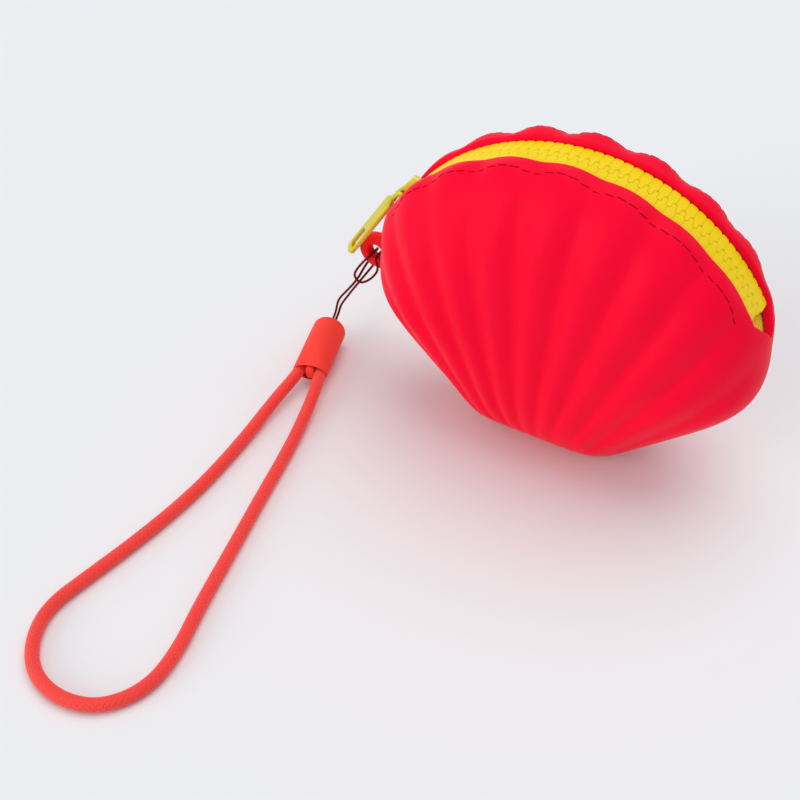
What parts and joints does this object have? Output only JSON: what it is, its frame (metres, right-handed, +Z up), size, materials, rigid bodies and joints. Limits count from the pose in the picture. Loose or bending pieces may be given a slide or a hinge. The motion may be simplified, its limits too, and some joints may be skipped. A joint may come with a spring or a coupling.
{
  "type": "zipped coin purse",
  "caption": "Soft coin purse shaped as a ribbed scallop shell, with a curved zip along its top edge, a swinging zip pull and a corded wrist strap tied to a loop at its side.",
  "frame": {"origin": "middle of the flat base, on the surface that the purse stands on", "axes": "+X along the width, away from the strap's loop, -Y to the front valve, +Z up to the zip"},
  "size_m": [0.1304, 0.1643, 0.0854],
  "materials": {
    "silicone": "soft matte silicone",
    "lug_silicone": "soft satin silicone",
    "zip_tape": "woven tape",
    "zip_teeth": "moulded plastic",
    "slider_paint": "glossy paint",
    "thread": "sewing thread",
    "string": "twisted string",
    "ferrule_rubber": "matte moulded rubber",
    "cord_braid": "fine braid"
  },
  "bodies": {
    "purse": {"rear_shell": "silicone", "strap_lug": "lug_silicone", "rear_tape": "zip_tape", "rear_teeth": "zip_teeth", "front_top_stop": "zip_teeth", "rear_top_stop": "zip_teeth", "bottom_stop": "zip_teeth", "rear_stitching": "thread", "strap_string": "string", "string_knot": "string", "strap_ferrule": "ferrule_rubber", "ferrule_plug": "ferrule_rubber", "wrist_cord": "cord_braid"},
    "front_half": {"front_shell": "silicone", "front_tape": "zip_tape", "front_teeth": "zip_teeth", "front_stitching": "thread"},
    "slider": {"slider_body": "slider_paint", "slider_bridge": "slider_paint"},
    "pull": {"pull_tab": "slider_paint"}
  },
  "joints": [
    {"name": "slider_travel", "type": "hinge", "parent": "purse", "child": "slider", "pos_m": [0, 0, 0.0273], "axis": [0, 1, 0], "range_deg": [0, 100], "deforming": ["rear_teeth", "front_teeth"]},
    {"name": "pull_tab_swing", "type": "hinge", "parent": "slider", "child": "pull", "pos_m": [-0.04816, 0, 0.05883], "axis": [0, 1, 0], "range_deg": [0, 138]},
    {"name": "mouth_open", "type": "hinge", "parent": "purse", "child": "front_half", "pos_m": [0, -0.0055, 0], "axis": [1, 0, 0], "range_deg": [0, 11], "stiffness_Nm_per_rad": 0.06, "springref_deg": -8.59, "deforming": ["front_tape", "rear_tape"]}
  ]
}
